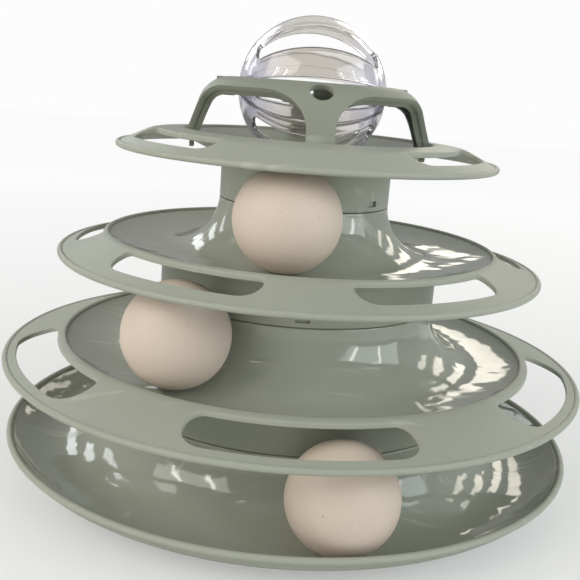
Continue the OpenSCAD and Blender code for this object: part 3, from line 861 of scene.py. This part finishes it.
def crown_piece():
    made = linked("crown_moulding", mesh_data("crown_moulding", crown_skin()))
    wall = made.modifiers.new("wall", "SOLIDIFY")
    wall.thickness, wall.offset, wall.use_even_offset = CROWN.wall * MM, -1, True
    applied(made)
    hole, depth, axis = CROWN.hole, 3 * WALL, 0.001
    (far, high), (out, up) = polar(CROWN.round, CROWN.tilt), polar(1, CROWN.tilt)
    for side in (-1, 1):
        cutter = bmesh.new()
        rod(cutter, [(axis, -depth), (hole, -depth), (hole, depth), (axis, depth)],
            (0, side * (SHOULDER[0] + far), SHOULDER[1] + high), (0, side * out, up))
        welded(cutter, 5e-6)
        tool = linked("cutter", mesh_data("cutter", cutter))
        cut = made.modifiers.new("hole", "BOOLEAN")
        cut.operation, cut.object, cut.solver = "DIFFERENCE", tool, "EXACT"
        applied(made)
        bpy.data.objects.remove(tool)
    rolled(made, CROWN.roll, 3, 45)
    # The crown takes the satin with painted shade.
    made.data.materials.clear()
    made.data.materials.append(crown_satin_painted_shade)
    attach(made, "top")
    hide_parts("crown")
    inner = bmesh.new()
    ribs(inner)
    bore, boss, length = CROWN.boss
    for side in (-1, 1):
        rod(inner, soften([(bore, 0.0), (boss, 0.0), (boss, length), (AXIS, length)], 0.4),
            (side * CROWN.ring, 0, CROWN.axle), (side, 0, 0))
    width, thick, reach = CROWN.tab
    at = CROWN.leg_r
    half, low = degrees(width / at) / 2, bowl_height(at) - 2 * WALL - reach
    for q in range(4):
        block(inner, (q * 90 - half, q * 90 + half), (at - 1.5 * thick, at - thick / 2),
              (low, CROWN.seat))
    # The ribs, bosses and tabs take the crown's satin with painted shade.
    piece("crown_ribs", inner, (crown_satin_painted_shade,), "top", [])
    print("crown_moulding", len(made.data.polygons), "faces")


crown_piece()

# %% [markdown]
# ## The clear ball
# The clear ball is two half shells that meet in a plane through the axle. Each half
# has four long slots that run from pole to pole, so the ribs between them are strips
# of one width in degrees. Each strip is a grid; at its ends the strips grow together
# into the plain cap round the pivot pin.

# %% Clear finish
def clear_plastic():
    finish = Finish("clear_plastic", ior=1.5, transmission_weight=0.92)
    across = finish.node("ShaderNodeSeparateXYZ", {}, {0: finish.place()})
    side = finish.ramp(finish.node("ShaderNodeMath", {"operation": "ABSOLUTE"}, {0: across}),
                       (0.010, 0.0), (0.028, 1.0))
    colour = finish.mix(side, (0.80, 0.77, 0.73, 1), (0.77, 0.76, 0.84, 1))
    rough = finish.noise(900, 3.0) * 0.1 + 0.02
    fine = finish.bump(finish.noise(60, 2.0), 0.25, 0.0008)
    return finish.feed(base_color=colour, roughness=rough, normal=fine)


clear = clear_plastic()
print("clear finish:", clear.name)

# %% [markdown]
# The strips are laid out by two angles, as on a globe whose poles lie on the axle. Near
# the poles a strip's edges curve in, which rounds the ends of the slots.

# %% Slots of the clear ball
BALL = Sizes(radius=31.1, wall=1.6, axle=163.3, turn=22.5, slots=4, slot=22.0, slot_x=24.8,
             corner=2.2, split=0.03, pin=2.2, bore=0.1, hub=5.0, hub_length=6.0,
             head=(3.6, 1.2), reach=5.4, roll=0.3)
SLOT_END = degrees(asin(BALL.slot_x / BALL.radius))
SLOT_CURVES = SLOT_END - degrees(BALL.corner / BALL.radius)


def slot_half(tilt):
    """Half the slot's angle in degrees, at a tilt from the ball's middle in degrees."""
    t = (abs(tilt) - SLOT_CURVES) / (SLOT_END - SLOT_CURVES)
    return BALL.slot / 2 * sqrt(max(0.0, 1 - max(0.0, t) ** 2))


def shell_tilts():
    start, end = SLOT_CURVES, SLOT_END
    pole = degrees(acos((BALL.pin + BALL.bore) / BALL.radius))
    half = ([start * i / 16 for i in range(17)]
            + [start + (end - start) * sin(pi / 2 * i / 8) for i in range(1, 9)]
            + [end + (pole - end) * i / 9 for i in range(1, 10)])
    return [-t for t in half[:0:-1]] + half


print("a strip has", len(shell_tilts()), "rows")

# %% [markdown]
# Each strip lies on the outer and on the inner skin, with walls between the two along
# the slots and the split. Both halves have one shape, with one turned over, and they
# stop a hair short of each other.

# %% Half shells
def shell_half(name, side, node):
    centres = [180 / BALL.slots * (i + 0.5) for i in range(BALL.slots)]
    tilts, gap = shell_tilts(), BALL.split
    mesh = bmesh.new()

    def point(tilt, turn, radius):
        t, s = radians(tilt), radians(side * turn + BALL.turn)
        rho = radius * cos(t)
        return mesh.verts.new((radius * sin(t) * MM, rho * cos(s) * MM,
                               (BALL.axle + rho * sin(s)) * MM))

    def between(lines_a, lines_b):
        for (a0, b0), (a1, b1) in zip(zip(lines_a, lines_b), zip(lines_a[1:], lines_b[1:])):
            if len({a0, b0, a1, b1}) == 4:
                mesh.faces.new((a0, b0, b1, a1))

    skins = []
    for radius in (BALL.radius, BALL.radius - BALL.wall):
        strips = []
        for i in range(BALL.slots + 1):
            columns = 4 if i in (0, BALL.slots) else 8
            rows = []
            for tilt in tilts:
                low = gap if i == 0 else centres[i - 1] + slot_half(tilt)
                high = 180 - gap if i == BALL.slots else centres[i] - slot_half(tilt)
                rows.append([point(tilt, low + (high - low) * k / columns, radius)
                             for k in range(columns + 1)])
            for here, there in zip(rows, rows[1:]):
                between(here, there)
            strips.append(rows)
        skins.append(strips)
    for i, (outer, inner) in enumerate(zip(*skins)):
        for edge in (0, -1):
            split = (i, edge) in ((0, 0), (BALL.slots, -1))
            for k in range(len(tilts) - 1):
                if split or max(slot_half(tilts[k]), slot_half(tilts[k + 1])) > 0:
                    mesh.faces.new((outer[k][edge], outer[k + 1][edge],
                                    inner[k + 1][edge], inner[k][edge]))
        for row in (0, -1):
            between(outer[row], inner[row])
    rolled(piece(name, mesh, (clear,), "clear_ball", [node]), BALL.roll, 2, 40)


shell_half("clear_half_upper", 1, "clear_shell_upper")
shell_half("clear_half_lower", -1, "clear_shell_lower")

# %% [markdown]
# A pin with a head turns in the crown on each side. The hub round it is part of the
# half shells on the real ball; here it is turned together with the pin, because both
# are round about the axle.

# %% Pivot pins with their hubs
def pin_piece(name, side, node, play=0.02, near=0.2, short=0.5):
    radius, thick = BALL.head
    start = BALL.radius - BALL.wall / 2 - BALL.hub_length - play
    length = CROWN.ring + BALL.reach - start
    mesh = bmesh.new()
    pin = soften([(AXIS, -thick), (radius, -thick), (radius, 0), (BALL.pin, 0),
                  (BALL.pin, length), (AXIS, length)], 0.35)
    rod(mesh, pin, (side * start, 0, BALL.axle), (side, 0, 0))
    bore, far = BALL.pin + BALL.bore, BALL.radius - BALL.wall - short - start
    hub = soften([(bore, near), (BALL.hub, near), (BALL.hub, far), (bore, far), (bore, near)],
                 0.3)
    rod(mesh, hub, (side * start, 0, BALL.axle), (side, 0, 0))
    piece(name, mesh, (clear,), "clear_ball", [node])


pin_piece("pivot_left", -1, "pivot_pin_left")
pin_piece("pivot_right", 1, "pivot_pin_right")

# %% [markdown]
# ## Track balls
# The balls are hollow mouldings of beige plastic with fine dark specks. Two halves meet
# in a hardly visible line, which is drawn as a shallow ridge. Each ball is turned to
# another side, so that the three don't look like copies.

# %% Ball finish
def ball_plastic():
    finish = Finish("ball_plastic", specular_ior_level=0.35)
    cloud = finish.noise(30, 4.0, 0.6)
    blush = finish.ramp(finish.noise(17, 2.0), (0.35, 0.0), (0.7, 1.0))
    colour = finish.mix(cloud, tone(208, 193, 178), tone(198, 184, 170))
    colour = finish.mix(0.5 * blush, colour, tone(212, 194, 180))
    specks = finish.ramp(finish.noise(900, 1.0, 0.4), (0.74, 0.0), (0.77, 1.0))
    colour = finish.mix(0.4 * specks, colour, tone(128, 112, 102))
    rough = finish.noise(90, 3.0) * 0.14 + 0.44
    fine = finish.bump(finish.noise(1500, 3.0), 0.2, 0.0001)
    return finish.feed(base_color=colour, roughness=rough, normal=fine)


ball_finish = ball_plastic()
print("ball finish:", ball_finish.name)

# %% [markdown]
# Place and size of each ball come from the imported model's own box. The ridge is a
# narrow belt round the middle that stands 0.15 % over the rest.

# %% Three track balls
def track_ball(name, node, body, tilt, ridge=0.0015, belt=1.2, pole=89.9):
    low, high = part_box(node)
    centre, radius = (low + high) / 2, (high.z - low.z) / 2
    mesh = bmesh.new()
    tilts = ([-pole + pole * i / 30 for i in range(30)] + [-belt, -belt / 2, 0, belt / 2, belt]
             + [pole * i / 30 for i in range(1, 31)])
    line = [polar(radius / MM * (1 - (ridge if abs(a) > belt else 0.0)), a) for a in tilts]
    moved(mesh, turned(mesh, line, all_round(90)), Matrix.Translation(centre)
          @ Matrix.Rotation(radians(tilt), 4, (1, 0.4, 0.2)))
    bmesh.ops.holes_fill(mesh, edges=[e for e in mesh.edges if e.is_boundary])
    piece(name, mesh, (ball_finish,), body, [node], 60)


track_ball("low_ball", "track_ball_low", "ball_low", 64)
track_ball("middle_ball", "track_ball_middle", "ball_middle", 118)
track_ball("high_ball", "track_ball_high", "ball_high", 31)

# %% [markdown]
# ## Foot pads
# Six round rubber pads sit in the seats under the dish, and keep it from sliding. Their
# soles have two shallow rings, turned with the rest of the outline.

# %% Pads
def pad_rubber():
    finish = Finish("pad_rubber", specular_ior_level=0.3)
    cloud = finish.noise(120, 3.0)
    fine = finish.bump(finish.noise(3000, 3.0), 0.4, 0.0001)
    colour = finish.mix(cloud, tone(92, 94, 92), tone(78, 80, 79))
    return finish.feed(base_color=colour, roughness=finish.noise(400, 2.0) * 0.2 + 0.6,
                       normal=fine)


def pads_piece():
    mesh = bmesh.new()
    top = PAD.seat + PAD.recess - PAD.gap / 2
    outline = soften([(AXIS, 0.2), (2.4, 0.2), (2.6, 0.0), (3.4, 0.0), (3.6, 0.2), (4.8, 0.2),
                      (5.0, 0.0), (6.0, 0.0), (PAD.radius, 0.5), (PAD.radius, top),
                      (AXIS, top)], 0.15)
    for way in all_round(PAD.count):
        rod(mesh, outline, (*polar(PAD.reach, way), 0), (0, 0, 1))
    piece("foot_pad_set", mesh, (pad_rubber(),), "base", ["foot_pads"])


pads_piece()

# %% [markdown]
# ## Camera
# The camera stands where the photograph was taken: in front, a little above the top
# disc, and tilted. Its place and lens were worked out from the rims in the photograph.

# %% Camera
PLACE, LENS_PX, PICTURE_PX = (0, -0.36935, 0.16461), 849.72, 580


def camera_at(turn=radians(-5), pitch=0.23373, yaw=-0.0082, roll=0.07537):
    forward = Vector((sin(yaw) * cos(pitch), cos(yaw) * cos(pitch), -sin(pitch)))
    level = Vector((cos(yaw), -sin(yaw), 0))
    rise = level.cross(forward)
    right = level * cos(roll) + rise * sin(roll)
    up = rise * cos(roll) - level * sin(roll)
    look = Matrix((right, up, -forward)).transposed().to_4x4()
    data = bpy.data.cameras.new("camera")
    data.sensor_width = 36
    data.lens = data.sensor_width * LENS_PX / PICTURE_PX
    made = linked("camera", data)
    made.matrix_world = Matrix.Rotation(turn, 4, "Z") @ Matrix.Translation(PLACE) @ look
    bpy.context.scene.camera = made
    return made


camera = camera_at()
print("camera at", [round(v, 4) for v in camera.matrix_world.translation])

# %% [markdown]
# ## Floor
# The floor is a pale sheet that keeps the toy's shadow. Away from the toy it fades into
# an even white, but only for the camera and through the clear ball, by way of a mix with
# an emission. For the light on the toy it is a plain pale floor everywhere.

# %% Floor
FADE = {0.16: 0.34, 1.0: 0.96}
PAPER = (0.98, 0.98, 0.98, 1)


def seen_directly(finish):
    """1 where the camera looks on straight or through clear plastic, and 0 elsewhere."""
    camera_ray, through_ray = (finish.node("ShaderNodeLightPath", out=name)
                               for name in ("Is Camera Ray", "Is Transmission Ray"))
    return finish.node("ShaderNodeMath", {"operation": "ADD", "use_clamp": True},
                       {0: camera_ray, 1: through_ray})


floor_finish = Finish("pale_floor", roughness=0.7)
cloud = floor_finish.noise(3, 3.0)
floor_finish.feed(base_color=floor_finish.mix(cloud, tone(238, 238, 237), tone(232, 233, 232)))
reach = floor_finish.node("ShaderNodeVectorMath", {"operation": "LENGTH"},
                          {0: floor_finish.place()}, out="Value")
fade = floor_finish.ramp(reach, *FADE.items())
paper = floor_finish.node("ShaderNodeEmission", {}, {"Color": PAPER})
sheet_of_paper = floor_finish.node(
    "ShaderNodeMixShader", {}, {0: fade * seen_directly(floor_finish),
                                1: Wire(floor_finish, floor_finish.shader.outputs[0]), 2: paper})
floor_finish.tree.links.new(sheet_of_paper.socket,
                            floor_finish.tree.nodes["Material Output"].inputs["Surface"])
floor_mesh = bmesh.new()
bmesh.ops.create_grid(floor_mesh, x_segments=8, y_segments=8, size=3)
floor = linked("floor", mesh_data("floor", floor_mesh))
floor.data.materials.append(floor_finish.material)
print("share of even white by distance from the axis in metres:", FADE)

# %% [markdown]
# ## Lamps and surroundings
# Two broad panels in front, warm and cool, light the toy softly. Narrow panes behind it
# and in front stand in for windows. They give the polished tracks their long bright
# streaks, which show that the plastic is glossy. The world is a dim grey to the toy and
# near white to the camera, so the background stays white without adding light.

# %% Lamps
def lamp(name, at, size, power, colour, aim=(0, 0, 0.08)):
    data = bpy.data.lights.new(name, "AREA")
    data.shape, data.size, data.size_y = "RECTANGLE", size[0], size[1]
    data.energy, data.color = power, colour
    made = linked(name, data)
    made.location = at
    made.rotation_mode = "QUATERNION"
    made.rotation_quaternion = (Vector(aim) - Vector(at)).to_track_quat("-Z", "Y")


WARM, COOL = (1.0, 0.93, 0.80), (0.94, 0.98, 1.0)
for x, y, power, colour in ((1.15, 0.6, 0.9, WARM), (0.9, 0.85, 0.9, WARM),
                            (0.62, 1.0, 0.9, WARM), (0.36, 1.1, 0.8, WARM),
                            (-0.42, 1.0, 0.8, COOL), (-0.7, 0.9, 0.9, COOL),
                            (-0.95, 0.65, 0.9, COOL)):
    lamp("back_window_pane", (x, y, 0.6), (0.15, 0.50), power, colour)
lamp("left_panel", (-1.1, -0.6, 0.8), (1.3, 1.0), 10.5, (1.0, 0.96, 0.88))
lamp("right_panel", (1.1, -0.6, 0.6), (1.2, 0.9), 8.5, (0.88, 0.97, 1.0))
for x, y, power in ((-1.15, -0.45, 1.2), (-0.95, -0.8, 1.2), (1.1, -0.5, 0.9), (0.8, -0.9, 0.9)):
    lamp("front_window_pane", (x, y, 0.5), (0.06, 0.6), power, (1.0, 0.98, 0.93))
print(len(bpy.data.lights), "lamps,", round(sum(l.energy for l in bpy.data.lights), 1), "W")


class Surroundings(Finish):
    """The world's nodes, written like a finish."""

    def __init__(self, name):
        self.world = bpy.data.worlds.new(name)
        self.world.use_nodes = True
        self.tree = self.world.node_tree
        self.shader = self.tree.nodes["Background"]


studio = Surroundings("studio")
studio.shader.inputs["Strength"].default_value = 1.0
sky = studio.mix(seen_directly(studio), (0.38, 0.39, 0.39, 1), PAPER)
studio.tree.links.new(sky.socket, studio.shader.inputs["Color"])
bpy.context.scene.world = studio.world
bpy.context.scene.view_settings.view_transform = "Standard"
print("the world has", len(studio.tree.nodes), "nodes")
